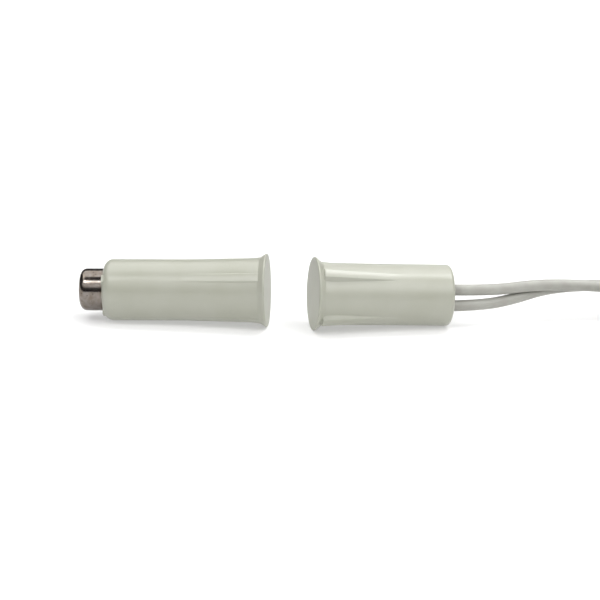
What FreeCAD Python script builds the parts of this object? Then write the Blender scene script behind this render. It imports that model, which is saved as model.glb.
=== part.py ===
import FreeCAD, Part
import math
import os

# Recessed magnetic contact, mm. It is a pair that lies on a flat surface at z = 0: the magnet half to the
# left, the switch half to the right, their faces towards each other and the leads running off to the right.
# Each half is modelled with its face at x = 0 and its tail along +X, and is then laid down.

V = FreeCAD.Vector
AXIS_X, AXIS_Y, AXIS_Z = V(1, 0, 0), V(0, 1, 0), V(0, 0, 1)
HERE = V(0, 0, 0)
SAME = 1e-6                # two lengths closer than this are the same

# Barrel and flared head, alike on both halves
body_dia = 9.2             # slips into a drilled hole of 9.5 mm, 3/8 in
draft_dia = 9.4            # at the flare: under the fins the barrel tapers down to body_dia
rim_dia = 11.0             # stops on the door or the frame
rim_thickness = 0.4        # the rim is rounded over its whole thickness
flare_length = 3.4         # from the face to the plain barrel
flare_neck_radius = 1.9    # tight hollow curve under the rim
flare_lead_radius = 20.0   # long easy curve that runs out into the barrel

# Holding fins: ridges that swell from the barrel towards the head
fin_count = 4
fin_start = 0.9            # from the face, where the ridge stands highest
fin_end = 12.2             # from the face, where the ridge meets the barrel
fin_front_slant = 0.35     # the front end of a fin leans back by this much
fin_flank_angle = 38.5     # degrees down from the ridge on each side
fin_root_depth = 0.5       # how far the fin's body reaches into the wall
magnet_fin_height = 0.42   # above the barrel, at the head end
magnet_fin_ridge_radius = 0.12
magnet_fin_roll = 31.5     # degrees from -Y towards +Z, when the half lies down
switch_fin_height = 0.85
switch_fin_ridge_radius = 0.16
switch_fin_roll = 44.0

# Magnet half
magnet_housing_length = 24.6
magnet_tail_radius = 1.4   # rounding of the tail's edge
magnet_dia = 6.35          # 1/4 in
magnet_length = 25.4       # 1 in
magnet_proud_length = 3.6     # of the magnet, beyond the housing's tail
magnet_edge_radius = 1.0
magnet_bore_clearance = 0.05
magnet_mouth_chamfer = 0.15
adhesive_thickness = 0.3

# Switch half
switch_housing_length = 20.8
switch_tail_radius = 0.6
switch_wall = 1.0
switch_face_wall = 1.5
cavity_corner_radius = 0.4
mouth_chamfer = 0.25
potting_recess_depth = 0.8       # the resin ends this far inside the tail

# Reed switch, in the potting
reed_clearance = 1.3       # between the face wall and the front end of the switch
capsule_dia = 2.2
capsule_wall = 0.25
capsule_seal_length = 1.6  # solid glass at each end
capsule_end_radius = 0.6
reed_lead_dia = 0.5
reed_width = 1.1
reed_thickness = 0.2
reed_overlap = 1.0
reed_gap = 0.12            # open between the blades
rear_lead_length = 2.2     # outside the glass
front_lead_length = 1.6
front_bend_radius = 0.8
solder_dia = 1.2
solder_length = 1.2
solder_edge_radius = 0.15

# Leads
wire_dia = 1.7
conductor_dia = 0.7
strip_length = 1.6         # bared inside the potting
rear_jacket_length = 0.8   # of the lower lead's insulation, held in the potting
tip_length = 6.0           # bared and tinned at the free end
upper_lead_offset = 0.3    # the upper lead's place in the tail, across and up from the axis
upper_lead_height = 0.75
lower_lead_offset = -0.3
lower_lead_height = -1.6

# How the pair lies: degrees that each half is turned on the surface, and the faces' places
magnet_turn = 4.75
switch_turn = 10.0
face_gap = 6.8             # along X, between the middles of the two faces
face_offset = 1.3          # the switch half's face lies this much nearer the viewer

# Routes of the leads, chosen by hand: along X and Y from the middle of the tail, and the height
# above the surface. Each starts in its place in the tail, which is worked out.
upper_route = [(6.5, 1.15, 5.05), (13.6, 3.2, 5.6), (22.0, 4.75, 5.1), (29.5, 5.25, 4.4), (36.5, 5.14, 4.35)]
lower_route = [(4.5, 0.45, 2.9), (9.5, 2.1, 3.4), (14.8, 5.0, 4.4), (21.5, 6.75, 4.6), (29.0, 7.2, 4.4),
               (36.5, 6.9, 4.35)]
arc_share = 0.45           # of the shorter run, taken up by each bend

# The rest of the leads, wound up: the coil's middle from the middle of the tail, and its outer shape
coil_x = 36.5
coil_y = -4.23
coil_mean_dia = 17.0
coil_columns = 4           # turns side by side
coil_column_pitch = 1.75
coil_spare_width = 0.1       # added to the width of the turns
coil_height = 5.4
coil_edge_chamfer = 0.8
tie_width = 2.4
tie_thickness = 0.35
tie_angle = -62.0          # where the tie goes round, degrees from +X
tie_twist_length = 5.0
tie_twist_dia = 1.1

# Worked out from the sizes above
body_r = body_dia / 2
draft_r = draft_dia / 2
rim_r = rim_dia / 2
rim_round = rim_thickness / 2
cavity_r = body_r - switch_wall
bore_r = magnet_dia / 2 + magnet_bore_clearance
bore_start = magnet_housing_length + magnet_proud_length - magnet_length - adhesive_thickness
potting_end = switch_housing_length - potting_recess_depth
capsule_start = switch_face_wall + reed_clearance + front_lead_length
capsule_end = potting_end - rear_jacket_length - strip_length - rear_lead_length
capsule_middle = (capsule_start + capsule_end) / 2
reed_lead_r = reed_lead_dia / 2
upper_line = (upper_lead_offset, upper_lead_height)
lower_line = (lower_lead_offset, lower_lead_height)
wire_r = wire_dia / 2
conductor_r = conductor_dia / 2
coil_width = coil_columns * coil_column_pitch + coil_spare_width


def polar(centre, radius, angle):
    """A point of the profile plane XZ, at an angle in radians from +X towards +Z."""
    return centre + V(radius * math.cos(angle), 0, radius * math.sin(angle))


def arc_between(centre, radius, start, end):
    """The shorter arc round centre from start to end, both in the XZ plane."""
    a = math.atan2(start.z - centre.z, start.x - centre.x)
    b = math.atan2(end.z - centre.z, end.x - centre.x)
    turn = (b - a + math.pi) % (2 * math.pi) - math.pi
    return Part.Arc(start, polar(centre, radius, a + turn / 2), end).toShape()


def flare_centres():
    """Centres of the rim's rounding, of the neck's hollow curve and of the lead-in curve."""
    rim = V(rim_round, 0, rim_r - rim_round)
    lead = V(flare_length, 0, draft_r + flare_lead_radius)
    step = flare_lead_radius - flare_neck_radius
    reach = flare_neck_radius + rim_round
    span = lead - rim
    size = span.Length
    along = (size ** 2 + step ** 2 - reach ** 2) / (2 * step)
    lean = math.atan2(span.x, span.z) - math.acos(along / size)
    neck = lead - V(math.sin(lean), 0, math.cos(lean)) * step
    return rim, neck, lead


def toward(start, end, distance):
    way = end - start
    return start + way * (distance / way.Length)


def barrel(length, tail_radius):
    """The outside of a housing: face, rounded rim, hollow flare, taper, plain barrel and rounded tail."""
    rim, neck, lead = flare_centres()
    face_edge = V(0, 0, rim.z)
    under_rim = toward(rim, neck, rim_round)
    flare_joint = toward(lead, neck, flare_lead_radius)
    taper_start = V(flare_length, 0, draft_r)
    taper_end = V(fin_end, 0, body_r)
    tail = V(length - tail_radius, 0, body_r - tail_radius)
    barrel_end = V(tail.x, 0, body_r)
    tail_edge = V(length, 0, tail.z)
    rim_top = polar(rim, rim_round, math.pi / 2)
    edges = [Part.makeLine(HERE, face_edge),
             arc_between(rim, rim_round, face_edge, rim_top),
             arc_between(rim, rim_round, rim_top, under_rim),
             arc_between(neck, flare_neck_radius, under_rim, flare_joint),
             arc_between(lead, flare_lead_radius, flare_joint, taper_start),
             Part.makeLine(taper_start, taper_end),
             Part.makeLine(taper_end, barrel_end),
             arc_between(tail, tail_radius, barrel_end, tail_edge),
             Part.makeLine(tail_edge, V(length, 0, 0)),
             Part.makeLine(V(length, 0, 0), HERE)]
    return Part.Face(Part.Wire(edges)).revolve(HERE, AXIS_X, 360)


def fin(height, ridge_radius):
    """One holding fin on top of the barrel: a long wedge with a rounded ridge, rooted in the wall."""
    root_z = body_r - fin_root_depth
    fall = height / (fin_end - fin_start)
    tail_x = fin_end + fin_root_depth / fall / 2
    spread = 1 / math.tan(math.radians(fin_flank_angle))

    def ridge_z(x):
        return body_r + height - (x - fin_start) * fall

    def corners(ridge_x, root_x):
        half = (ridge_z(root_x) - root_z) * spread
        return [V(ridge_x, 0, ridge_z(ridge_x)), V(root_x, half, root_z), V(root_x, -half, root_z)]

    front = corners(fin_start, fin_start - fin_front_slant)
    back = corners(tail_x, tail_x)
    outlines = [front, back]
    for i in range(3):
        j = (i + 1) % 3
        outlines.append([front[i], front[j], back[j], back[i]])
    faces = [Part.Face(Part.makePolygon(points + points[:1])) for points in outlines]
    wedge = Part.Solid(Part.Shell(faces))
    return wedge.makeFillet(ridge_radius, [edge for edge in wedge.Edges if is_ridge(edge)])


def is_ridge(edge):
    """True for the one edge of a fin's wedge that runs along its top."""
    return all(abs(vertex.Point.y) < SAME for vertex in edge.Vertexes)


def rod(radius, start, end, line=(0, 0)):
    """A round bar along X from start to end, on the axis or on a line at that Y and Z."""
    return Part.makeCylinder(radius, end - start, V(start, *line), AXIS_X)


def rim_edges(solid, x, radius):
    """The round edges of a solid about the X axis that lie at x and have the given radius."""
    return [edge for edge in solid.Edges if isinstance(edge.Curve, Part.Circle)
            and abs(edge.Curve.Center.x - x) < SAME and abs(edge.Curve.Radius - radius) < SAME]


def finned(solid, height, ridge_radius, roll):
    """Adds the holding fins, the first of them turned by roll degrees about the axis from straight up."""
    fins = []
    for i in range(fin_count):
        ridge = fin(height, ridge_radius)
        ridge.rotate(HERE, AXIS_X, roll + i * 360 / fin_count)
        fins.append(ridge)
    return solid.fuse(fins).removeSplitter()


def mouth(radius, x, chamfer):
    """What a chamfer takes off the edge of a bore whose mouth is at x."""
    return Part.makeCone(radius, radius + chamfer, chamfer, V(x - chamfer, 0, 0), AXIS_X)


def magnet_housing():
    outside = finned(barrel(magnet_housing_length, magnet_tail_radius), magnet_fin_height,
                     magnet_fin_ridge_radius, magnet_fin_roll - 90)
    bore = rod(bore_r, bore_start, magnet_housing_length)
    return outside.cut([bore, mouth(bore_r, magnet_housing_length, magnet_mouth_chamfer)])


def bar_magnet():
    end = magnet_housing_length + magnet_proud_length
    start = end - magnet_length
    bar = rod(magnet_dia / 2, start, end)
    edges = rim_edges(bar, start, magnet_dia / 2) + rim_edges(bar, end, magnet_dia / 2)
    return bar.makeFillet(magnet_edge_radius, edges)


def magnet_adhesive():
    """The glue that the magnet was pressed into: it fills the bore's end round the magnet's edge."""
    full = adhesive_thickness + magnet_edge_radius
    return rod(bore_r, bore_start, bore_start + full).cut(bar_magnet())


def cavity(end):
    """The room inside the switch housing, from its face wall to end."""
    room = rod(cavity_r, switch_face_wall, end)
    return room.makeFillet(cavity_corner_radius, rim_edges(room, switch_face_wall, cavity_r))


def switch_housing():
    outside = finned(barrel(switch_housing_length, switch_tail_radius), switch_fin_height,
                     switch_fin_ridge_radius, 90 - switch_fin_roll)
    return outside.cut([cavity(switch_housing_length), mouth(cavity_r, switch_housing_length, mouth_chamfer)])


def capsule_outline():
    """The outside of the glass tube, with its rounded ends."""
    tube = rod(capsule_dia / 2, capsule_start, capsule_end, lower_line)
    ends = rim_edges(tube, capsule_start, capsule_dia / 2) + rim_edges(tube, capsule_end, capsule_dia / 2)
    return tube.makeFillet(capsule_end_radius, ends)


def reed_capsule():
    """The glass tube, sealed round both leads, with its room for the blades."""
    room = rod(capsule_dia / 2 - capsule_wall, capsule_start + capsule_seal_length,
               capsule_end - capsule_seal_length, lower_line)
    leads = rod(reed_lead_r, capsule_start, capsule_end, lower_line)
    return capsule_outline().cut([room, leads])


def blade(start, end, below):
    """A flat reed blade from start to end, just above the capsule's axis, or just below it."""
    low = -reed_gap / 2 - reed_thickness if below else reed_gap / 2
    corner = V(start, lower_lead_offset - reed_width / 2, lower_lead_height + low)
    return Part.makeBox(end - start, reed_width, reed_thickness, corner)


def front_reed():
    flat_start = capsule_start + capsule_seal_length + reed_lead_r
    lead = rod(reed_lead_r, capsule_start - front_lead_length, flat_start + reed_width / 2, lower_line)
    return lead.fuse(blade(flat_start, capsule_middle + reed_overlap / 2, False)).removeSplitter()


def rear_reed():
    flat_end = capsule_end - capsule_seal_length - reed_lead_r
    lead = rod(reed_lead_r, flat_end - reed_width / 2, capsule_end + rear_lead_length, lower_line)
    return lead.fuse(blade(capsule_middle - reed_overlap / 2, flat_end, True)).removeSplitter()


def front_leg():
    """Path of the upper lead's bared end: forward along the capsule, then across to the front reed."""
    cross_x = capsule_start - front_lead_length / 2
    top = V(cross_x, *upper_line)
    foot = V(cross_x, *lower_line)
    down = (foot - top).normalize()
    bend_start = top + AXIS_X * front_bend_radius
    bend_end = top + down * front_bend_radius
    centre = bend_start + down * front_bend_radius
    bend_middle = centre + (top - centre).normalize() * front_bend_radius
    end = foot - down * reed_lead_r
    return [Part.makeLine(V(potting_end, *upper_line), bend_start),
            Part.Arc(bend_start, bend_middle, bend_end).toShape(),
            Part.makeLine(bend_end, end)]


def front_wire_conductor():
    circle = Part.makeCircle(conductor_r, V(potting_end, *upper_line), AXIS_X)
    return Part.Wire(front_leg()).makePipeShell([Part.Wire(circle)], True, False)


def front_wire_insulation():
    start = capsule_start + front_bend_radius
    jacket = rod(wire_r, start, potting_end, upper_line)
    return jacket.cut(rod(conductor_r, start, potting_end, upper_line))


def rear_wire_conductor():
    return rod(conductor_r, capsule_end + rear_lead_length, potting_end, lower_line)


def rear_wire_insulation():
    start = capsule_end + rear_lead_length + strip_length
    jacket = rod(wire_r, start, potting_end, lower_line)
    return jacket.cut(rod(conductor_r, start, potting_end, lower_line))


def front_solder_joint():
    centre = V(capsule_start - front_lead_length / 2, *lower_line)
    return Part.makeSphere(solder_dia / 2, centre).cut([front_reed(), front_wire_conductor()])


def rear_solder_joint():
    middle = capsule_end + rear_lead_length
    drop = rod(solder_dia / 2, middle - solder_length / 2, middle + solder_length / 2, lower_line)
    drop = drop.makeFillet(solder_edge_radius, rim_edges(drop, middle - solder_length / 2, solder_dia / 2)
                           + rim_edges(drop, middle + solder_length / 2, solder_dia / 2))
    return drop.cut([rear_reed(), rear_wire_conductor()])


def potting_compound(inside):
    """The resin fills the housing up to its recess, round the sealed tube and everything else inside."""
    return cavity(potting_end).cut([capsule_outline()] + inside)


def rest(length, tail_radius, turn, face):
    """How a half lies: on its rim and its tail's edge, turned on the surface, its face's middle at face."""
    rim = rim_r - rim_round
    tail = body_r - tail_radius
    run = length - tail_radius - rim_round
    lean = math.atan2(rim - tail, run) + math.asin((rim_round - tail_radius) / math.hypot(run, rim - tail))
    height = rim_round + rim * math.cos(lean) + rim_round * math.sin(lean)
    spin = FreeCAD.Rotation(AXIS_Z, turn) * FreeCAD.Rotation(AXIS_Y, math.degrees(lean))
    return FreeCAD.Placement(face + V(0, 0, height), spin)


def rounded_run(points, name):
    """Straight runs joined by tangent arcs, as edges in order. Prints the radius of each bend."""
    edges = []
    start = points[0]
    radii = []
    for before, corner, after in zip(points, points[1:], points[2:]):
        back, on = before - corner, after - corner
        trim = arc_share * min(back.Length, on.Length)
        turn = math.pi - back.getAngle(on)
        radii.append(trim / math.tan(turn / 2))
        arc_start = toward(corner, before, trim)
        arc_end = toward(corner, after, trim)
        bisector = (back.normalize() + on.normalize()).normalize()
        middle = corner + bisector * (radii[-1] / math.cos(turn / 2) - radii[-1])
        edges.append(Part.LineSegment(start, arc_start).toShape())
        edges.append(Part.Arc(arc_start, middle, arc_end).toShape())
        start = arc_end
    edges.append(Part.LineSegment(start, points[-1]).toShape())
    print(name, "bend radii, mm:", [round(radius, 1) for radius in radii])
    return edges


def lead(points, name):
    """A lead's plain round tube along its route."""
    path = Part.Wire(rounded_run(points, name))
    circle = Part.makeCircle(wire_r, points[0], points[1] - points[0])
    tube = path.makePipeShell([Part.Wire(circle)], True, False)
    print(name, "length, mm:", round(path.Length, 2), "volume over section times length:",
          round(tube.Volume / (math.pi * wire_r ** 2 * path.Length), 4))
    return tube


def coil_section(low, high, spare):
    """The coil's outline beside its axis, between two heights and wider by spare on each side."""
    half = coil_width / 2 + spare
    cut = coil_edge_chamfer
    corners = [(-half + cut, low), (half - cut, low), (half, low + cut), (half, high - cut),
               (half - cut, high), (-half + cut, high), (-half, high - cut), (-half, low + cut)]
    middle = coil_mean_dia / 2
    return Part.Face(Part.makePolygon([V(middle + x, 0, z) for x, z in corners + corners[:1]]))


def coil_and_tie(centre):
    """The wound-up leads as one solid of their outer shape, and the twisted tie round them."""
    ring = coil_section(0, coil_height, 0).revolve(HERE, AXIS_Z, 360)
    sweep = math.degrees(tie_width / (coil_mean_dia / 2))
    around = coil_section(0, coil_height + tie_thickness, tie_thickness).revolve(HERE, AXIS_Z, sweep)
    held = coil_section(tie_thickness, coil_height, 0).revolve(HERE, AXIS_Z, sweep)
    band = around.cut(held)
    band.rotate(HERE, AXIS_Z, tie_angle - sweep / 2)
    twist_start = coil_mean_dia / 2 + coil_width / 2 + tie_thickness / 2
    twist = Part.makeCylinder(tie_twist_dia / 2, tie_twist_length, V(twist_start, 0, coil_height / 2), AXIS_X)
    twist.rotate(HERE, AXIS_Z, tie_angle)
    tie = band.fuse(twist.cut(ring)).removeSplitter()
    ring = ring.cut(band)
    for shape in (ring, tie):
        shape.translate(centre)
    return ring, tie


def bared_tip(centre, column):
    """A stripped and tinned end that lies on the coil, beside its middle by the turn that it belongs to."""
    beside = coil_mean_dia / 2 + (column - (coil_columns - 1) / 2) * coil_column_pitch
    start = centre + V(beside, 0, coil_height + conductor_r)
    return Part.makeCylinder(conductor_r, tip_length, start, -AXIS_Y)


def placed(shape, place):
    copy = shape.copy()
    copy.Placement = place
    return copy


def main():
    magnet_face = V(-face_gap, face_offset, 0)
    magnet_place = rest(magnet_housing_length, magnet_tail_radius, 180 - magnet_turn, magnet_face)
    switch_place = rest(switch_housing_length, switch_tail_radius, switch_turn, HERE)
    magnet_half = {"magnet_housing": magnet_housing(), "bar_magnet": bar_magnet(),
                   "magnet_adhesive": magnet_adhesive()}
    inside = {"reed_capsule": reed_capsule(), "front_reed": front_reed(), "rear_reed": rear_reed(),
              "front_wire_conductor": front_wire_conductor(),
              "rear_wire_conductor": rear_wire_conductor(),
              "front_wire_insulation": front_wire_insulation(),
              "rear_wire_insulation": rear_wire_insulation(),
              "front_solder_joint": front_solder_joint(), "rear_solder_joint": rear_solder_joint()}
    switch_half = dict(inside, switch_housing=switch_housing(),
                       potting_compound=potting_compound(list(inside.values())))

    # The origin is on the surface, under the middle of the two halves
    laid = [placed(shape, magnet_place) for shape in magnet_half.values()]
    laid.append(placed(switch_half["switch_housing"], switch_place))
    box = Part.makeCompound(laid).optimalBoundingBox(False, False)
    shift = V(-box.Center.x, -box.Center.y, 0)
    magnet_place.move(shift)
    switch_place.move(shift)

    pieces = {name: placed(shape, magnet_place) for name, shape in magnet_half.items()}
    pieces.update({name: placed(shape, switch_place) for name, shape in switch_half.items()})

    tail = switch_place.multVec(V(switch_housing_length, 0, 0))
    tail_on_surface = V(tail.x, tail.y, 0)
    upper_exit = switch_place.multVec(V(potting_end, *upper_line))
    lower_exit = switch_place.multVec(V(potting_end, *lower_line))
    coil_centre = tail_on_surface + V(coil_x, coil_y, 0)
    print("middle of the tail:", tail, "upper exit:", upper_exit, "lower exit:", lower_exit)
    ring, tie = coil_and_tie(coil_centre)
    upper_points = [upper_exit] + [tail_on_surface + V(*point) for point in upper_route]
    lower_points = [lower_exit] + [tail_on_surface + V(*point) for point in lower_route]
    held = [ring] + [pieces[side + part] for side in ("front_wire", "rear_wire")
                     for part in ("_insulation", "_conductor")]
    pieces["front_wire_run"] = lead(upper_points, "front lead").cut(held)
    pieces["rear_wire_run"] = lead(lower_points, "rear lead").cut(held)
    pieces["wire_coil"] = ring
    pieces["coil_tie"] = tie
    pieces["front_wire_tip"] = bared_tip(coil_centre, 0)
    pieces["rear_wire_tip"] = bared_tip(coil_centre, 1)

    os.makedirs("parts", exist_ok=True)
    for name, shape in pieces.items():
        print(name, "valid" if shape.isValid() else "NOT VALID", "solids", len(shape.Solids), "mm3",
              round(shape.Volume, 3))
        shape.exportStep("parts/" + name + ".step")


main()
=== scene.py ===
import math

import bmesh
import bpy
from mathutils import Matrix, Vector


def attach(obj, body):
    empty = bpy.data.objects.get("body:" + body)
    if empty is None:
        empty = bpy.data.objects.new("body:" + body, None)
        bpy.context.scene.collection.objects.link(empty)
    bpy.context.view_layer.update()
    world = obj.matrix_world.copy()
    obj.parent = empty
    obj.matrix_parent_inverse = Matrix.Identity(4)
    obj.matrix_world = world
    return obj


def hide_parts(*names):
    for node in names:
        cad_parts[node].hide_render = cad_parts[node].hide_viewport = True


# A recessed magnetic contact: the magnet half on the left, the switch half on the right with its two
# leads. Sizes are written in millimetres and places become metres, in the frame of the CAD model.
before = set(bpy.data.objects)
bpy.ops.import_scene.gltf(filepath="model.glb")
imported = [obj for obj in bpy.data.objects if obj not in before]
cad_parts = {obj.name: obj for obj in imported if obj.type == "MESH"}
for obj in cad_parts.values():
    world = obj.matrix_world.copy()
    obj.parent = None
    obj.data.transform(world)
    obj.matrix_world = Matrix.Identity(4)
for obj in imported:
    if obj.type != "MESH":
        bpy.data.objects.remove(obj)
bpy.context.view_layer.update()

MM = 0.001

# The photograph's frame and view
PHOTO_SIZE = 600                # pixels, square
FOCAL_LENGTH_PX = 3000          # the view is a narrow one, from afar
SENSOR_WIDTH = 36.0
CAMERA_ELEVATION = math.radians(17)
CAMERA_ROLL = math.radians(1.09)
CAMERA_DISTANCE = 450 * MM
CAMERA_TARGET = Vector((5.014, 0.983, 3.775)) * MM

# Barrel and head, alike on both halves
BODY_R = 4.6
RIM_R = 5.5
RIM_ROUND = 0.2                 # half the rim's thickness
NECK_LENGTH = 1.05              # from the face to the crease where the neck's cone meets the barrel
FLARE_LENGTH = 3.4
FIN_COUNT = 4
FIN_START = 0.95                # from the face, where a fin stands highest
FIN_END = 12.2
FIN_SLANT = 0.5                 # its front end leans back by this much, into the neck
FIN_ROOT_DEPTH = 0.5
FIN_HALF_WIDTH = math.radians(7.6)              # of its top
FIN_WALL = math.radians(58)     # how far a side wall faces away from the top
FIN_FOOT = 0.1                  # hollow where it meets the barrel
FIN_STEPS = 48                  # round the barrel, over a fin and its feet
FIN_STEPS_WIDTH = 2.2           # of those, against the half width of its top
GAP_STEPS = 20                  # between two fins
SHARP_EDGE = math.radians(40)

# Magnet half
MAGNET_CREASE_R = 4.98
MAGNET_DRAFT_R = 4.8            # at the flare's end: the barrel tapers from there to the fins' end
MAGNET_HOUSING_LENGTH = 24.6
MAGNET_TAIL_ROUND = 1.4
MAGNET_BORE_R = 3.225
MAGNET_BORE_START = 2.5
MAGNET_MOUTH_CHAMFER = 0.15
MAGNET_R = 3.175
MAGNET_END = 28.2               # from the face
MAGNET_LENGTH = 25.4
MAGNET_EDGE_ROUND = 1.0
BAR_STEPS = 128                 # round the bar
MAGNET_TURN = math.radians(180 - 4.75)
MAGNET_FACE = Vector((0.1475, -0.0293, 0))
MAGNET_FIN_HEIGHT = 0.42
MAGNET_FIN_EDGE = 0.16          # rounding of the edges of its top
MAGNET_FIN_ROLL = math.radians(31.5) + FIN_HALF_WIDTH

# Switch half
SWITCH_CREASE_R = 4.85
SWITCH_DRAFT_R = 4.65
SWITCH_HOUSING_LENGTH = 20.8
SWITCH_TAIL_ROUND = 0.6
SWITCH_CAVITY_R = 3.6
SWITCH_CAVITY_CORNER = 0.4
SWITCH_FACE_WALL = 1.5
SWITCH_MOUTH_CHAMFER = 0.25
SWITCH_TURN = math.radians(10)
SWITCH_FACE = Vector((6.9475, -1.3293, 0))
SWITCH_FIN_HEIGHT = 0.85
SWITCH_FIN_EDGE = 0.12
SWITCH_FIN_ROLL = math.radians(90 - 44.5) - FIN_HALF_WIDTH

# Leads: where each leaves the resin, and its route from the middle of the tail, with heights above
# the surface
TAIL = Vector((27.410859, 2.278957, 0))
WIRE_R = 0.85
UPPER_EXIT = Vector((26.604903, 2.441473, 5.354189))
LOWER_EXIT = Vector((26.605100, 1.832252, 3.006563))
UPPER_ROUTE = [(6.5, 1.15, 5.05), (13.6, 3.2, 5.6), (22.0, 4.75, 5.1), (29.5, 5.25, 4.4)]
LOWER_ROUTE = [(4.5, 0.45, 2.9), (9.5, 2.1, 3.4), (14.8, 5.0, 4.4), (21.5, 6.75, 4.6), (29.0, 7.2, 4.4)]

# The rest of the leads, wound up beside the view
COIL_CENTRE = TAIL + Vector((36.5, -4.23, 0))
COIL_RADII = (5.875, 7.625, 9.375, 11.125)      # of the four columns, from inside to outside
COIL_TOP = 4.36                 # where the leads come in
COIL_FLOOR = 0.86
COIL_PITCH = 1.75
TURN_POINTS = 24
TIP_HEIGHT = 5.75
TIP_LENGTH = 6.0
TIE_ANGLE = math.radians(-62)
TIE_THICKNESS = 0.35
TIE_WIDTH = 2.4
TIE_EDGE = 0.1                  # bevel of the strap's edges
TIE_TWIST_R = 0.55
TIE_TWIST_LENGTH = 5.0
TIE_TWIST_START = 0.21          # from the strap's inside, within its thickness
TIE_TURNS = 2.0
TIE_CORE_R = 0.1
TIE_SHARP_EDGE = math.radians(50)
TIE_LIFT_ANGLE = 0.5            # how far round the coil the tie under it is felt
STRAND_R = 0.35 / 3             # six strands round one, 0.7 across
TIP_TURNS = 1.5
STRAND_SIDES = 14
HELIX_STEPS = 28                # to a turn

# Studio: how bright the sky is in each direction. A pair of values says over which stretch of the
# direction's x, -y or z a part of it comes in or goes out.
WHITE = (1, 1, 1, 1)
SKY = 0.24
SKY_LEFT = 0.3                  # share of it at the far left
SKY_RIGHT = 0.55                # share added towards the right
RIGHT = (-0.7, 0.9)
FRONT = (0.1, 0.5)              # the viewer's side
LOW_FRONT = (0.05, 0.3)
LOW_FRONT_SHADE = 0.75
FRONT_BAND = 2.1                # light from the viewer's side, half way up
BAND_LEFT = 0.5
BAND_RIGHT = 0.65
BAND_FOOT = (0.34, 0.56)
BAND_TOP = (0.74, 0.93)
ROOF = 1.7                      # light from above, with a dark slit that the magnet shows
ROOF_FOOT = (0.7, 0.9)
ROOF_SLIT_X = -0.14
ROOF_SLIT = (0.14, 0.28)
TOP_SHADE = 0.75
TOP_SHADE_PLACE = (80, 0, 7, 18)                # given as a lamp's place is
LAMPS = [                       # brightness, then elevation, azimuth, full and outer angle in degrees
    (14.0, (67, 116, 3, 8)),    # shows as the streak on the switch half's upper fin
    (2.0, (22, 173, 3, 9)),     # behind, low
    (1.6, (40, 50, 5, 22)),     # on the right
    (10.0, (55, -37, 4, 9)),    # shows on the magnet half's upper fin
]
KEY_POWER = 13.0                # watts
FLOOR_COLOUR = (0.6, 0.6, 0.6, 1)
FLOOR_GLOW = 0.37               # the ground is a lit table


class Quantity:
    """A number that varies over a surface: a node's output, used in sums as any number is."""

    def __init__(self, sheet, socket):
        self.sheet = sheet
        self.socket = socket

    def __add__(self, other):
        return self.sheet.math("ADD", self, other)

    def __radd__(self, other):
        return self.sheet.math("ADD", other, self)

    def __sub__(self, other):
        return self.sheet.math("SUBTRACT", self, other)

    def __rsub__(self, other):
        return self.sheet.math("SUBTRACT", other, self)

    def __mul__(self, other):
        return self.sheet.math("MULTIPLY", self, other)

    def __rmul__(self, other):
        return self.sheet.math("MULTIPLY", other, self)

    def __truediv__(self, other):
        return self.sheet.math("DIVIDE", self, other)

    def __rtruediv__(self, other):
        return self.sheet.math("DIVIDE", other, self)

    def __neg__(self):
        return self.sheet.math("MULTIPLY", self, -1)

    def root(self):
        return self.sheet.math("SQRT", self)

    def absolute(self):
        return self.sheet.math("ABSOLUTE", self)

    def cosine(self):
        return self.sheet.math("COSINE", self)


class Sheet:
    """A node tree that is written out in Python, for a material or for geometry."""

    def __init__(self, tree):
        self.tree = tree

    def node(self, kind, settings=None, inputs=None):
        made = self.tree.nodes.new(kind)
        for name, value in (settings or {}).items():
            setattr(made, name, value)
        for key, value in (inputs or {}).items():
            if isinstance(value, Quantity):
                value = value.socket
            if isinstance(value, bpy.types.NodeSocket):
                self.tree.links.new(value, made.inputs[key])
            else:
                made.inputs[key].default_value = value
        return made

    def quantity(self, socket):
        return Quantity(self, socket)

    def math(self, operation, *values):
        made = self.node("ShaderNodeMath", {"operation": operation}, dict(enumerate(values)))
        return self.quantity(made.outputs[0])

    def between(self, value, low, high):
        """0 below low, 1 above high and a smooth change from one to the other."""
        made = self.node("ShaderNodeMapRange", {"interpolation_type": "SMOOTHSTEP"},
                         {"Value": value, "From Min": low, "From Max": high})
        return self.quantity(made.outputs["Result"])


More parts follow.
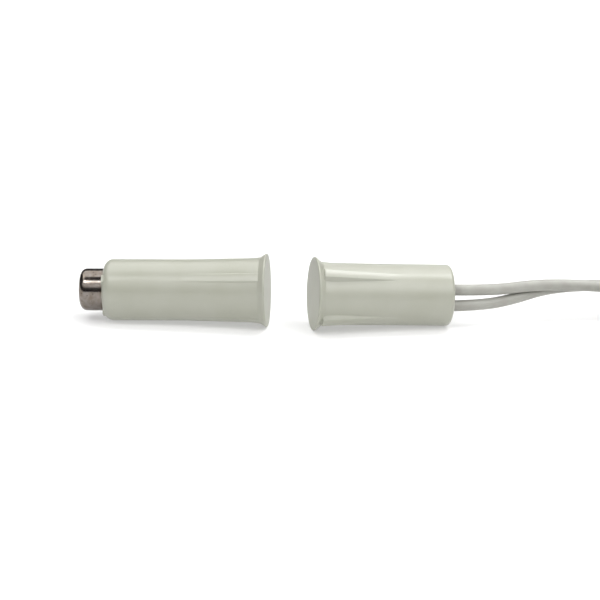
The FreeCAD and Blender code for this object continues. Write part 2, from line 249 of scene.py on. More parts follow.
class Maker(Sheet):
    """A geometry tree with a mesh and named sizes for its inputs, used on one mesh at a time."""

    def __init__(self, name, sizes):
        super().__init__(bpy.data.node_groups.new(name, "GeometryNodeTree"))
        sockets = self.tree.interface
        sockets.new_socket("Mesh", in_out="INPUT", socket_type="NodeSocketGeometry")
        for size, value in sizes.items():
            kind = "NodeSocketInt" if isinstance(value, int) else "NodeSocketFloat"
            sockets.new_socket(size, in_out="INPUT", socket_type=kind).default_value = value
        sockets.new_socket("Material", in_out="INPUT", socket_type="NodeSocketMaterial")
        sockets.new_socket("Mesh", in_out="OUTPUT", socket_type="NodeSocketGeometry")
        given = self.node("NodeGroupInput").outputs
        self.mesh = given["Mesh"]
        self.sizes = {size: self.quantity(given[size]) for size in sizes}
        self.material = given["Material"]

    def ended(self, geometry):
        """Ends the tree in real faces with the piece's material."""
        real = self.node("GeometryNodeRealizeInstances", None, {"Geometry": geometry}).outputs[0]
        done = self.node("GeometryNodeSetMaterial", None, {"Geometry": real, "Material": self.material})
        self.node("NodeGroupOutput", None, {0: done.outputs[0]})
        return self

    def made(self, mesh, values):
        """The plain mesh that the tree makes from a mesh, with these values for its inputs."""
        carrier = bpy.data.objects.new(self.tree.name, mesh)
        bpy.context.scene.collection.objects.link(carrier)
        modifier = carrier.modifiers.new(self.tree.name, "NODES")
        modifier.node_group = self.tree
        for item in self.tree.interface.items_tree:
            if item.in_out == "INPUT" and item.name in values:
                modifier[item.identifier] = values[item.name]
        result = mesh_of(carrier)
        bpy.data.objects.remove(carrier)
        return result


class Finish(Sheet):
    """A material's nodes. Its patterns are in the object's millimetres, turned to lie along a piece."""

    def __init__(self, name, place=None):
        self.material = bpy.data.materials.new(name)
        self.material.use_nodes = True
        super().__init__(self.material.node_tree)
        self.shader = self.tree.nodes["Principled BSDF"]
        object_place = self.node("ShaderNodeTexCoord").outputs["Object"]
        place = place or Matrix.Identity(4)
        turned = self.node("ShaderNodeMapping", {"vector_type": "TEXTURE"},
                           {"Vector": object_place, "Location": place.to_translation(),
                            "Rotation": place.to_euler(), "Scale": (MM, MM, MM)})
        self.place = turned.outputs[0]

    def stretched(self, x, y, z):
        """The place, drawn out by a factor along each axis, for a pattern with a direction."""
        return self.node("ShaderNodeVectorMath", {"operation": "DIVIDE"},
                         {0: self.place, 1: (x, y, z)}).outputs[0]

    def noise(self, scale, detail, roughness=0.5, vector=None):
        """Soft noise from 0 to 1, with about scale waves to a millimetre."""
        made = self.node("ShaderNodeTexNoise", None,
                         {"Vector": vector or self.place, "Scale": scale, "Detail": detail,
                          "Roughness": roughness})
        return self.quantity(made.outputs["Fac"])

    def specks(self, scale, size):
        """1 in small round specks, about scale to a millimetre, and 0 between them."""
        cells = self.node("ShaderNodeTexVoronoi", {"feature": "F1"},
                          {"Vector": self.place, "Scale": scale})
        return 1 - self.between(self.quantity(cells.outputs["Distance"]), size * 0.5, size)

    def along(self):
        """How far along the piece's axis the place is, in millimetres."""
        return self.quantity(self.node("ShaderNodeSeparateXYZ", None, {0: self.place}).outputs["X"])

    def mix(self, factor, first, second):
        made = self.node("ShaderNodeMix", {"data_type": "RGBA"}, {0: factor, 6: first, 7: second})
        return made.outputs[2]

    def bump(self, height, depth, before=None):
        """A bump whose height runs from 0 to 1 over depth millimetres."""
        inputs = {"Height": height, "Strength": 1.0, "Distance": depth * MM}
        if before:
            inputs["Normal"] = before
        return self.node("ShaderNodeBump", None, inputs).outputs[0]

    def set(self, **sockets):
        for name, value in sockets.items():
            socket = self.shader.inputs[name.replace("_", " ")]
            if isinstance(value, Quantity):
                value = value.socket
            if isinstance(value, bpy.types.NodeSocket):
                self.tree.links.new(value, socket)
            else:
                socket.default_value = value
        return self.material


def colour(red, green, blue):
    """A colour given by its 0 to 255 values on a screen."""
    def linear(value):
        share = value / 255
        return share / 12.92 if share <= 0.04045 else ((share + 0.055) / 1.055) ** 2.4
    return (linear(red), linear(green), linear(blue), 1)


# Materials

def moulded_plastic(name, place):
    """Warm white ABS with the faint mottling and the fine texture of a small moulding."""
    finish = Finish(name, place)
    cloudy = finish.noise(0.22, 3)
    grain = finish.noise(9.0, 2)
    dust = finish.specks(0.55, 0.05)
    tone = finish.mix(finish.between(cloudy, 0.35, 0.65), colour(161, 162, 149), colour(164, 165, 153))
    tone = finish.mix(dust * 0.35, tone, colour(120, 112, 98))
    duller_face = 1 - finish.between(finish.along(), 0.02, 0.15)
    roughness = 0.29 + (grain - 0.5) * 0.06 + (cloudy - 0.5) * 0.04 + duller_face * 0.16
    waves = finish.noise(0.6, 1)
    relief = finish.bump(waves, 0.005)
    relief = finish.bump(grain, 0.0008, relief)
    return finish.set(Base_Color=tone, Roughness=roughness, Normal=relief, IOR=1.52)


def magnet_metal(name, place):
    """Cast magnet alloy, ground round: dark, with lines round the bar and brown-grey patches."""
    finish = Finish(name, place)
    lines = finish.noise(6.0, 3, 0.6, finish.stretched(1, 8, 8))
    patches = finish.noise(0.9, 4, 0.6)
    pits = finish.specks(1.6, 0.16)
    tone = finish.mix(finish.between(patches, 0.35, 0.7), colour(131, 125, 120), colour(114, 105, 96))
    tone = finish.mix(pits * 0.6, tone, colour(60, 52, 45))
    relief = finish.bump(lines, 0.004)
    relief = finish.bump(1 - pits, 0.03, relief)
    return finish.set(Base_Color=tone, Metallic=1.0,
                      Roughness=0.13 + (lines - 0.5) * 0.14 + finish.between(patches, 0.4, 0.7) * 0.06,
                      Normal=relief)


def jacket_vinyl(name):
    """The leads' grey-white vinyl, slightly uneven along its length."""
    finish = Finish(name)
    cloudy = finish.noise(0.35, 3)
    grain = finish.noise(7.0, 2)
    tone = finish.mix(finish.between(cloudy, 0.35, 0.65), colour(154, 153, 146), colour(162, 162, 155))
    return finish.set(Base_Color=tone, Roughness=0.42 + (grain - 0.5) * 0.14,
                      Normal=finish.bump(grain, 0.004), IOR=1.5)


def tinned_copper(name):
    """Tinned strands: pale metal with a patchy dull film."""
    finish = Finish(name)
    film = finish.noise(2.0, 3)
    tone = finish.mix(finish.between(film, 0.4, 0.7), colour(205, 203, 198), colour(178, 172, 160))
    return finish.set(Base_Color=tone, Metallic=1.0, Roughness=0.28 + (film - 0.5) * 0.2,
                      Normal=finish.bump(film, 0.01))


def resin(name, place):
    """Potting resin: a dull beige-grey fill with a slightly wavy, dimpled surface."""
    finish = Finish(name, place)
    waves = finish.noise(0.5, 2)
    bubbles = finish.specks(1.2, 0.12)
    tone = finish.mix(finish.between(waves, 0.3, 0.7), colour(150, 146, 134), colour(166, 161, 148))
    relief = finish.bump(waves, 0.15)
    relief = finish.bump(1 - bubbles, 0.05, relief)
    return finish.set(Base_Color=tone, Roughness=0.3 + (waves - 0.5) * 0.2, Normal=relief, IOR=1.5)


def drawn_metal(name, base, roughness):
    """Wire, blade or solder: bright metal with fine lines and a thin dull film."""
    finish = Finish(name)
    film = finish.noise(3.0, 3)
    tone = finish.mix(film, base, tuple(part * 0.8 for part in base[:3]) + (1,))
    return finish.set(Base_Color=tone, Metallic=1.0, Roughness=roughness + (film - 0.5) * 0.15,
                      Normal=finish.bump(film, 0.003))


def capsule_glass(name):
    """The reed switch's faintly green glass."""
    finish = Finish(name)
    film = finish.noise(1.0, 2)
    return finish.set(Base_Color=colour(226, 240, 232), Roughness=0.03 + film * 0.04,
                      Transmission_Weight=1.0, IOR=1.5)


def tie_vinyl(name):
    """The white vinyl coat of the wire tie."""
    finish = Finish(name)
    grain = finish.noise(4.0, 2)
    tone = finish.mix(grain, colour(216, 216, 212), colour(206, 206, 201))
    return finish.set(Base_Color=tone, Roughness=0.4 + (grain - 0.5) * 0.2,
                      Normal=finish.bump(grain, 0.01))


def floor_paint(name):
    """The table's top: matt, and lit a little from below."""
    finish = Finish(name)
    tooth = finish.noise(0.05, 2)
    return finish.set(Base_Color=FLOOR_COLOUR, Roughness=0.8 + (tooth - 0.5) * 0.1,
                      Specular_IOR_Level=0.1, Emission_Color=WHITE, Emission_Strength=FLOOR_GLOW)


# Meshes

def piece_from(mesh, name, material, slot, *replaced):
    """A finished piece of the object, riding on its one body and standing for the CAD nodes named."""
    mesh.materials.clear()
    mesh.materials.append(material)
    piece = bpy.data.objects.new(name, mesh)
    bpy.context.scene.collection.objects.link(piece)
    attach(piece, "root")
    if replaced:
        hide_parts(*replaced)
    return piece


def mesh_of(obj):
    """The mesh that an object's curve or modifiers come to, as a plain mesh of its own."""
    bpy.context.view_layer.update()
    return bpy.data.meshes.new_from_object(obj.evaluated_get(bpy.context.evaluated_depsgraph_get()))


def resting_place(length, tail_round, turn, face):
    """How a half lies: on its rim and its tail's edge, turned on the surface. Lengths become metres."""
    rim = RIM_R - RIM_ROUND
    tail = BODY_R - tail_round
    run = length - tail_round - RIM_ROUND
    lean = (math.atan2(rim - tail, run)
            + math.asin((RIM_ROUND - tail_round) / math.hypot(run, rim - tail)))
    height = RIM_ROUND + rim * math.cos(lean) + RIM_ROUND * math.sin(lean)
    turned = Matrix.Rotation(turn, 4, "Z") @ Matrix.Rotation(lean, 4, "Y")
    return Matrix.Translation((face + Vector((0, 0, height))) * MM) @ turned


MAGNET_PLACE = resting_place(MAGNET_HOUSING_LENGTH, MAGNET_TAIL_ROUND, MAGNET_TURN, MAGNET_FACE)
SWITCH_PLACE = resting_place(SWITCH_HOUSING_LENGTH, SWITCH_TAIL_ROUND, SWITCH_TURN, SWITCH_FACE)


# Skins turned about a half's axis. Lines are lists of (along, out) in millimetres, from the face on.

def arc(centre, radius, start, end, steps):
    """Points of an arc without its first one."""
    angles = [start + (end - start) * (i + 1) / steps for i in range(steps)]
    return [(centre[0] + radius * math.cos(a), centre[1] + radius * math.sin(a)) for a in angles]


def run(start, end, steps):
    """Points of a straight run without its first one."""
    return [tuple(a + (b - a) * (i + 1) / steps for a, b in zip(start, end)) for i in range(steps)]


def outside_line(length, tail_round, mouth, crease_r, draft_r):
    """The outside of a housing, from the middle of its face to the mouth of its bore: a rounded rim, the
    neck's cone, a flare that runs out along the barrel, and the rounded tail."""
    rim = (RIM_ROUND, RIM_R - RIM_ROUND)
    crease = (NECK_LENGTH, crease_r)
    inward, down = crease[0] - rim[0], crease[1] - rim[1]
    rim_end = math.atan2(down, inward) + math.acos(RIM_ROUND / math.hypot(inward, down))
    tail = (length - tail_round, BODY_R - tail_round)
    tail_end = math.asin(max(mouth - tail[1], 0) / tail_round)
    line = [(0, 0)] + run((0, 0), (0, rim[1]), 8)
    line += arc(rim, RIM_ROUND, math.pi, rim_end, 12)
    line += run(line[-1], crease, 12)
    steps = 24
    line += [(crease[0] + (FLARE_LENGTH - crease[0]) * i / steps,
              draft_r + (crease_r - draft_r) * (1 - i / steps) ** 2) for i in range(1, steps + 1)]
    line += run((FLARE_LENGTH, draft_r), (FIN_END, BODY_R), 44)
    line += run((FIN_END, BODY_R), (tail[0], BODY_R), 12)
    line += arc(tail, tail_round, math.pi / 2, tail_end, 10)
    return line


def magnet_housing_line():
    """The magnet half's outside, and the inside of its blind bore."""
    mouth = MAGNET_BORE_R + MAGNET_MOUTH_CHAMFER
    line = outside_line(MAGNET_HOUSING_LENGTH, MAGNET_TAIL_ROUND, mouth, MAGNET_CREASE_R, MAGNET_DRAFT_R)
    bore_edge = (MAGNET_HOUSING_LENGTH - MAGNET_MOUTH_CHAMFER, MAGNET_BORE_R)
    return line, [bore_edge, (MAGNET_BORE_START, MAGNET_BORE_R), (MAGNET_BORE_START, 0)]


def switch_housing_line():
    """The switch half's outside, and the inside of its cavity."""
    mouth = SWITCH_CAVITY_R + SWITCH_MOUTH_CHAMFER
    line = outside_line(SWITCH_HOUSING_LENGTH, SWITCH_TAIL_ROUND, mouth, SWITCH_CREASE_R, SWITCH_DRAFT_R)
    bore_edge = (SWITCH_HOUSING_LENGTH - SWITCH_MOUTH_CHAMFER, SWITCH_CAVITY_R)
    corner = (SWITCH_FACE_WALL + SWITCH_CAVITY_CORNER, SWITCH_CAVITY_R - SWITCH_CAVITY_CORNER)
    inside = [(SWITCH_HOUSING_LENGTH, mouth), bore_edge]
    inside += run(bore_edge, (corner[0], SWITCH_CAVITY_R), 6)
    inside += arc(corner, SWITCH_CAVITY_CORNER, math.pi / 2, math.pi, 5)
    return line, inside + [(SWITCH_FACE_WALL, 0)]


def magnet_line():
    """The bar magnet from end to end."""
    start, end = MAGNET_END - MAGNET_LENGTH, MAGNET_END
    flat = MAGNET_R - MAGNET_EDGE_ROUND
    line = [(start, 0)] + run((start, 0), (start, flat), 4)
    line += arc((start + MAGNET_EDGE_ROUND, flat), MAGNET_EDGE_ROUND, math.pi, math.pi / 2, 12)
    line += run(line[-1], (end - MAGNET_EDGE_ROUND, MAGNET_R), 20)
    line += arc((end - MAGNET_EDGE_ROUND, flat), MAGNET_EDGE_ROUND, math.pi / 2, 0, 12)
    return line + run((end, flat), (end, 0), 4)


def fin_angles(roll):
    """Angles round a housing, close together over each fin and further apart between fins."""
    near = FIN_HALF_WIDTH * FIN_STEPS_WIDTH
    sector = 2 * math.pi / FIN_COUNT
    steps = [-near + 2 * near * i / FIN_STEPS for i in range(FIN_STEPS)]
    steps += [near + (sector - 2 * near) * i / GAP_STEPS for i in range(GAP_STEPS)]
    return [roll + sector * k + step for k in range(FIN_COUNT) for step in steps]


def turned_skin(name, line, angles, finned=0):
    """A closed skin from a line that starts and ends on the axis. Fins may stand on its first points."""
    build = bmesh.new()
    share = build.verts.layers.float.new("finned")
    rings = []
    for i, (along, out) in enumerate(line[1:-1], 1):
        ring = [build.verts.new((along, out * math.cos(a), out * math.sin(a))) for a in angles]
        for vert in ring:
            vert[share] = 1 if i < finned and along > RIM_ROUND else 0
        rings.append(ring)
    poles = [build.verts.new((line[0][0], 0, 0)), build.verts.new((line[-1][0], 0, 0))]
    for i in range(len(angles)):
        j = (i + 1) % len(angles)
        build.faces.new((poles[0], rings[0][i], rings[0][j]))
        build.faces.new((poles[1], rings[-1][j], rings[-1][i]))
        for near, far in zip(rings, rings[1:]):
            build.faces.new((near[i], far[i], far[j], near[j]))
    bmesh.ops.recalc_face_normals(build, faces=build.faces)
    mesh = bpy.data.meshes.new(name)
    build.to_mesh(mesh)
    build.free()
    mesh.shade_smooth()
    mesh.set_sharp_from_angle(angle=SHARP_EDGE)
    return mesh


def holding_fins():
    """The tree that swells the fins out of a barrel. At each place round it the surface rises to the
    fin's top, its side wall or its slanting front, whichever is lowest, with eased edges and feet."""
    maker = Maker("holding_fins", {"Barrel radius": BODY_R, "Fins": float(FIN_COUNT), "Height": 0.5,
                                   "Edge rounding": 0.1, "Roll": 0.0, "Start": FIN_START, "End": FIN_END,
                                   "Front slant": FIN_SLANT, "Root depth": FIN_ROOT_DEPTH,
                                   "Half width": FIN_HALF_WIDTH, "Wall angle": FIN_WALL,
                                   "Foot rounding": FIN_FOOT})
    place = maker.node("GeometryNodeInputPosition").outputs[0]
    along, across, up = [maker.quantity(part)
                         for part in maker.node("ShaderNodeSeparateXYZ", None, {0: place}).outputs]
    finned = maker.node("GeometryNodeInputNamedAttribute", {"data_type": "FLOAT"}, {"Name": "finned"})
    size = maker.sizes
    out = (across * across + up * up).root()
    sector = 2 * math.pi / size["Fins"]
    around = maker.math("ARCTAN2", up, across) - size["Roll"] + sector / 2
    aside = (maker.math("FLOORED_MODULO", around, sector) - sector / 2).absolute()
    top = size["Barrel radius"] + size["Height"] * (size["End"] - along) / (size["End"] - size["Start"])
    wall = top * size["Wall angle"].cosine() / (aside - size["Half width"] - size["Wall angle"]).cosine()
    front = (size["Barrel radius"] - size["Root depth"] + (along - size["Start"] + size["Front slant"])
             * (size["Height"] + size["Root depth"]) / size["Front slant"])
    fin = maker.math("SMOOTH_MIN", top, wall, size["Edge rounding"])
    wanted = maker.math("SMOOTH_MIN", fin, front, size["Edge rounding"])
    raised = maker.math("SMOOTH_MAX", out, wanted, size["Foot rounding"])
    stretch = 1 + (raised / out - 1) * maker.quantity(finned.outputs["Attribute"])
    moved = maker.node("ShaderNodeCombineXYZ", None, {0: along, 1: across * stretch, 2: up * stretch})
    placed = maker.node("GeometryNodeSetPosition", None,
                        {"Geometry": maker.mesh, "Position": moved.outputs[0]})
    return maker.ended(placed.outputs[0])


def moulded_housing(name, lines, roll, height, edge, place, material):
    """One housing: its turned skin, with the fins that its mould gives it."""
    outside, inside = lines
    skin = turned_skin(name, outside + inside, fin_angles(roll), len(outside))
    mesh = FINS.made(skin, {"Roll": roll, "Height": height, "Edge rounding": edge, "Material": material})
    mesh.transform(place @ Matrix.Scale(MM, 4))
    return piece_from(mesh, name + "_moulding", material, "housing_plastic", name)


def twisted_strands():
    """The tree that lays round strands side by side along a helix, upwards from the origin."""
    maker = Maker("twisted_strands", {"Strands": 6, "Strand radius": 0.1, "Ring radius": 0.2,
                                      "Length": 6.0, "Turns": 1.0, "Core radius": 0.0})
    size = maker.sizes

    def tube(line, radius):
        """A round strand along a line."""
        profile = maker.node("GeometryNodeCurvePrimitiveCircle", None,
                             {"Resolution": STRAND_SIDES, "Radius": radius})
        return maker.node("GeometryNodeCurveToMesh", None,
                          {"Curve": line.outputs[0], "Profile Curve": profile.outputs[0],
                           "Fill Caps": True})

    helix = maker.node("GeometryNodeCurveSpiral", None,
                       {"Resolution": HELIX_STEPS, "Rotations": size["Turns"], "Height": size["Length"],
                        "Start Radius": size["Ring radius"], "End Radius": size["Ring radius"]})
    strand = tube(helix, size["Strand radius"])
    posts = maker.node("GeometryNodeMeshLine", None, {"Count": size["Strands"], "Offset": (0, 0, 0)})
    number = maker.quantity(maker.node("GeometryNodeInputIndex").outputs[0])
    turn = maker.node("ShaderNodeCombineXYZ", None, {2: number * (2 * math.pi / size["Strands"])})
    ring = maker.node("GeometryNodeInstanceOnPoints", None,
                      {"Points": posts.outputs[0], "Instance": strand.outputs[0],
                       "Rotation": turn.outputs[0]})
    core_end = maker.node("ShaderNodeCombineXYZ", None, {2: size["Length"]})
    core = tube(maker.node("GeometryNodeCurvePrimitiveLine", None, {"End": core_end.outputs[0]}),
                size["Core radius"])
    joined = maker.node("GeometryNodeJoinGeometry")
    maker.tree.links.new(ring.outputs[0], joined.inputs[0])
    maker.tree.links.new(core.outputs[0], joined.inputs[0])
    return maker.ended(joined.outputs[0])


def bared_end(name, node, radius, material):
    """The tinned strands that end a lead, twisted one turn and a half."""
    mesh = STRANDS.made(bpy.data.meshes.new(node),
                        {"Strands": 6, "Strand radius": STRAND_R, "Ring radius": 2 * STRAND_R,
                         "Core radius": STRAND_R, "Length": TIP_LENGTH, "Turns": TIP_TURNS,
                         "Material": material})
    start = Matrix.Translation((COIL_CENTRE + Vector((radius, 0, TIP_HEIGHT))) * MM)
    mesh.transform(start @ Matrix.Rotation(math.pi / 2, 4, "X") @ Matrix.Scale(MM, 4))
    return piece_from(mesh, name, material, "tinned_strand", node)


def tie_pieces(material):
    """The tie: a flat strap closed round the coil's section, and its two ends twisted together."""
    inner, outer = COIL_RADII[0] - WIRE_R, COIL_RADII[-1] + WIRE_R
    low, high = TIE_THICKNESS, COIL_TOP + WIRE_R + TIE_THICKNESS
    corner, corner_steps = WIRE_R, 8
    path = []
    for x, z, start in ((outer - corner, high - corner, 0), (inner + corner, high - corner, 1),
                        (inner + corner, low + corner, 2), (outer - corner, low + corner, 3)):
        for i in range(corner_steps + 1):
            angle = (start + i / corner_steps) * math.pi / 2
            path.append((x, z, math.cos(angle), math.sin(angle)))
    half, thick, edge = TIE_WIDTH / 2, TIE_THICKNESS, TIE_EDGE
    section = [(-half, edge), (-half + edge, 0), (half - edge, 0), (half, edge),
               (half, thick - edge), (half - edge, thick), (-half + edge, thick), (-half, thick - edge)]
    build = bmesh.new()
    rings = []
    for x, z, level, up in path:
        rings.append([build.verts.new((x + (corner + out) * level, across, z + (corner + out) * up))
                      for across, out in section])
    for ring, following in zip(rings, rings[1:] + rings[:1]):
        for i in range(len(section)):
            j = (i + 1) % len(section)
            build.faces.new((ring[i], ring[j], following[j], following[i]))
    bmesh.ops.recalc_face_normals(build, faces=build.faces)
    strap = bpy.data.meshes.new("coil_tie")
    build.to_mesh(strap)
    build.free()
    strap.shade_smooth()
    strap.set_sharp_from_angle(angle=TIE_SHARP_EDGE)
    turned = Matrix.Rotation(TIE_ANGLE, 4, "Z") @ Matrix.Scale(MM, 4)
    place = Matrix.Translation(COIL_CENTRE * MM) @ turned
    strap.transform(place)
    twist = STRANDS.made(bpy.data.meshes.new("tie_twist"),
                         {"Strands": 2, "Strand radius": TIE_TWIST_R / 2, "Ring radius": TIE_TWIST_R / 2,
                          "Core radius": TIE_CORE_R, "Length": TIE_TWIST_LENGTH, "Turns": TIE_TURNS,
                          "Material": material})
    twist.transform(place @ Matrix.Translation((outer + TIE_TWIST_START, 0, (low + high) / 2))
                    @ Matrix.Rotation(math.pi / 2, 4, "Y"))
    return [piece_from(strap, "tie_strap", material, "tie_plastic", "coil_tie"),
            piece_from(twist, "tie_ends", material, "tie_plastic", "coil_tie")]


# Leads

def eased(value, low, high):
    """0 below low, 1 above high and a smooth change from one to the other."""
    share = min(max((value - low) / (high - low), 0), 1)
    return (3 - 2 * share) * share ** 2


def coil_turns(outer, inner, rising_turns):
    """One lead's winding as control points: down the outer column, in under it and up the inner one.

    A turn drops to the next row late on its way round, so each row clears the one below, and all of them
    rise a little where they lie on the tie.
    """
    pull = math.cos(math.pi / TURN_POINTS)
    drop_start, drop_end = 0.6, 0.9
    inward, upward = 2.25, 2.5
    points = []
    for i in range(1, round((upward + rising_turns) * TURN_POINTS) + 1):
        turned = i / TURN_POINTS
        radius = outer + (inner - outer) * eased(turned, inward, upward)
        rows_down = eased(turned, drop_start, drop_end) + eased(turned, 1 + drop_start, 1 + drop_end)
        height = COIL_TOP - COIL_PITCH * rows_down
        height += (TIP_HEIGHT - COIL_FLOOR) * max(turned - upward, 0) / rising_turns
        angle = math.pi / 2 - turned * 2 * math.pi
        from_tie = math.remainder(angle - TIE_ANGLE, 2 * math.pi)
        height += TIE_THICKNESS * math.exp(-(from_tie / TIE_LIFT_ANGLE) ** 2)
        points.append(COIL_CENTRE + Vector((radius / pull * math.cos(angle),
                                            radius / pull * math.sin(angle), height)))
    points[-1] = COIL_CENTRE + Vector((inner, 0, TIP_HEIGHT))
    return points


def lead_curve(name, exit_point, route, outer, inner, rising_turns, material):
    """One lead as a round curve: its free stretch by listed points, then its turns."""
    points = [exit_point] + [TAIL + Vector(point) for point in route]
    points.append(COIL_CENTRE + Vector((0, outer, COIL_TOP)))
    points += coil_turns(outer, inner, rising_turns)
    curve = bpy.data.curves.new(name, "CURVE")
    curve.dimensions = "3D"
    curve.bevel_depth = WIRE_R * MM
    curve.bevel_resolution = 5
    curve.resolution_u = 6
    curve.use_fill_caps = True
    spline = curve.splines.new("NURBS")
    spline.points.add(len(points) - 1)
    for spline_point, point in zip(spline.points, points):
        spline_point.co = (*(point * MM), 1)
    spline.order_u = 3
    spline.use_endpoint_u = True
    curve.materials.append(material)
    piece = bpy.data.objects.new(name, curve)
    bpy.context.scene.collection.objects.link(piece)
    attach(piece, "root")
    return piece


# Studio

def place_camera():
    """The photograph's camera: above the surface, and turned a little round its own view."""
    camera = bpy.data.cameras.new("camera")
    camera.sensor_width = SENSOR_WIDTH
    camera.lens = SENSOR_WIDTH * FOCAL_LENGTH_PX / PHOTO_SIZE
    camera.clip_start = 10 * MM
    camera.clip_end = 10
    level = Vector((1, 0, 0))
    above = Vector((0, math.sin(CAMERA_ELEVATION), math.cos(CAMERA_ELEVATION)))
    ahead = Vector((0, math.cos(CAMERA_ELEVATION), -math.sin(CAMERA_ELEVATION)))
    right = level * math.cos(CAMERA_ROLL) + above * math.sin(CAMERA_ROLL)
    up = above * math.cos(CAMERA_ROLL) - level * math.sin(CAMERA_ROLL)
    turned = Matrix((right, up, -ahead)).transposed().to_4x4()
    obj = bpy.data.objects.new("camera", camera)
    bpy.context.scene.collection.objects.link(obj)
    obj.matrix_world = Matrix.Translation(CAMERA_TARGET - ahead * CAMERA_DISTANCE) @ turned
    bpy.context.scene.camera = obj


def from_front(elevation, azimuth):
    """A direction from the object. Azimuth 0 is on the viewer's side, elevation past 90 leans back."""
    e, a = math.radians(elevation), math.radians(azimuth)
    return Vector((math.sin(a) * math.cos(e), -math.cos(a) * math.cos(e), math.sin(e)))


def soft_light(name, elevation, azimuth, distance, width, height, watts):
    """A rectangular soft light that faces the object."""
    light = bpy.data.lights.new(name, "AREA")
    light.shape = "RECTANGLE"
    light.size = width
    light.size_y = height
    light.energy = watts
    away = from_front(elevation, azimuth)
    obj = bpy.data.objects.new(name, light)
    bpy.context.scene.collection.objects.link(obj)
    obj.location = away * distance
    obj.rotation_mode = "QUATERNION"
    obj.rotation_quaternion = (-away).to_track_quat("-Z", "Y")


def studio_floor():
    """A wide pale disc whose rim curves up, so that every view has the same plain ground."""
    flat, sweep, around, sweep_steps = 1.0, 0.05, 96, 12
    outline = [(flat * 0.5, 0)]
    for i in range(sweep_steps + 1):
        angle = math.pi / 2 * i / sweep_steps
        outline.append((flat + sweep * math.sin(angle), sweep * (1 - math.cos(angle))))
    build = bmesh.new()
    centre = build.verts.new((0, 0, 0))
    rings = []
    for radius, height in outline:
        rings.append([build.verts.new((radius * math.cos(2 * math.pi * i / around),
                                       radius * math.sin(2 * math.pi * i / around), height))
                      for i in range(around)])
    for i in range(around):
        build.faces.new((centre, rings[0][i], rings[0][(i + 1) % around]))
    for low, high in zip(rings, rings[1:]):
        for i in range(around):
            j = (i + 1) % around
            build.faces.new((low[i], high[i], high[j], low[j]))
    mesh = bpy.data.meshes.new("studio_floor")
    build.to_mesh(mesh)
    build.free()
    mesh.shade_smooth()
    mesh.materials.append(floor_paint("floor_paint"))
    floor = bpy.data.objects.new("studio_floor", mesh)
    bpy.context.scene.collection.objects.link(floor)


def studio_sky():
    """A dim surrounding, with a band of light in front, a roof of light and a few small lamps."""
    world = bpy.data.worlds.new("studio")
    world.use_nodes = True
    sky = Sheet(world.node_tree)
    direction = sky.node("ShaderNodeTexCoord").outputs["Generated"]
    across, away, height = [sky.quantity(part) for part in
                            sky.node("ShaderNodeSeparateXYZ", None, {0: direction}).outputs]

    def within(elevation, azimuth, full, outer):
        """1 in a round patch of sky, with a soft edge."""
        facing = sky.node("ShaderNodeVectorMath", {"operation": "DOT_PRODUCT"},
                          {0: direction, 1: from_front(elevation, azimuth)}).outputs["Value"]
        return sky.between(facing, math.cos(math.radians(outer)), math.cos(math.radians(full)))

    front = sky.between(-away, *FRONT)
    right = sky.between(across, *RIGHT)
    low_front = front * (1 - sky.between(height, *LOW_FRONT))
    plain = SKY * (SKY_LEFT + SKY_RIGHT * right) * (1 - LOW_FRONT_SHADE * low_front)
    band = sky.between(height, *BAND_FOOT) * (1 - sky.between(height, *BAND_TOP)) * front
    roof = sky.between(height, *ROOF_FOOT) * sky.between((across - ROOF_SLIT_X).absolute(), *ROOF_SLIT)
    strength = plain * (1 - TOP_SHADE * within(*TOP_SHADE_PLACE))
    strength = strength + FRONT_BAND * band * (BAND_LEFT + BAND_RIGHT * right) + ROOF * roof
    for brightness, place in LAMPS:
        strength = strength + brightness * within(*place)
    background = sky.tree.nodes["Background"].inputs
    sky.tree.links.new(strength.socket, background["Strength"])
    background["Color"].default_value = WHITE
    bpy.context.scene.world = world


# The object

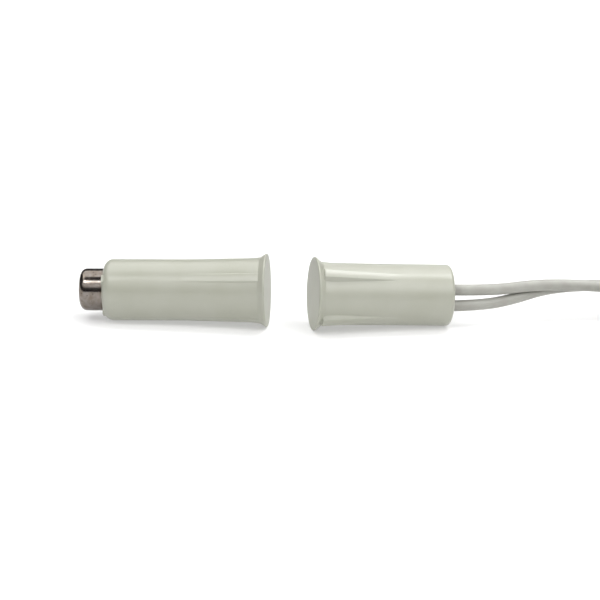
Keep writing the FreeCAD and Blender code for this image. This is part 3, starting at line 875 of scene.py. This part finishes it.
JACKET = jacket_vinyl("jacket_vinyl")
front_lead = lead_curve("front_lead", UPPER_EXIT, UPPER_ROUTE, outer=COIL_RADII[2], inner=COIL_RADII[0],
                        rising_turns=2.75, material=JACKET)
rear_lead = lead_curve("rear_lead", LOWER_EXIT, LOWER_ROUTE, outer=COIL_RADII[3], inner=COIL_RADII[1],
                       rising_turns=1.75, material=JACKET)
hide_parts("front_wire_run", "wire_coil")
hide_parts("rear_wire_run", "wire_coil")
STRANDS = twisted_strands()
front_end = bared_end("front_bared_end", "front_wire_tip", COIL_RADII[0],
                      tinned_copper("front_tinned_copper"))
rear_end = bared_end("rear_bared_end", "rear_wire_tip", COIL_RADII[1],
                     tinned_copper("rear_tinned_copper"))
tie = tie_pieces(tie_vinyl("tie_vinyl"))


def dress(node, material):
    """Gives a CAD node its finish."""
    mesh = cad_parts[node].data
    mesh.materials.clear()
    mesh.materials.append(material)


FINS = holding_fins()
moulded_housing("magnet_housing", magnet_housing_line(), MAGNET_FIN_ROLL, MAGNET_FIN_HEIGHT,
                MAGNET_FIN_EDGE, MAGNET_PLACE, moulded_plastic("magnet_housing_abs", MAGNET_PLACE))
moulded_housing("switch_housing", switch_housing_line(), SWITCH_FIN_ROLL, SWITCH_FIN_HEIGHT,
                SWITCH_FIN_EDGE, SWITCH_PLACE, moulded_plastic("switch_housing_abs", SWITCH_PLACE))
bar = turned_skin("bar_magnet", magnet_line(), [2 * math.pi * i / BAR_STEPS for i in range(BAR_STEPS)])
bar.transform(MAGNET_PLACE @ Matrix.Scale(MM, 4))
piece_from(bar, "ground_magnet", magnet_metal("magnet_metal", MAGNET_PLACE), "magnet_plating",
           "bar_magnet")
dress("magnet_adhesive", resin("magnet_glue", MAGNET_PLACE))
dress("potting_compound", resin("potting_resin", SWITCH_PLACE))
dress("reed_capsule", capsule_glass("capsule_glass"))
REED = drawn_metal("reed_alloy", colour(190, 188, 184), 0.3)
SOLDER = drawn_metal("solder", colour(205, 205, 206), 0.25)
COPPER = drawn_metal("copper", colour(214, 140, 104), 0.3)
for end in ("front", "rear"):
    dress(end + "_reed", REED)
    dress(end + "_solder_joint", SOLDER)
    dress(end + "_wire_conductor", COPPER)
    dress(end + "_wire_insulation", JACKET)

studio_floor()
studio_sky()
soft_light("overhead", elevation=115, azimuth=0, distance=1.2, width=1.9, height=1.15, watts=KEY_POWER)
place_camera()
bpy.context.scene.view_settings.view_transform = "Standard"
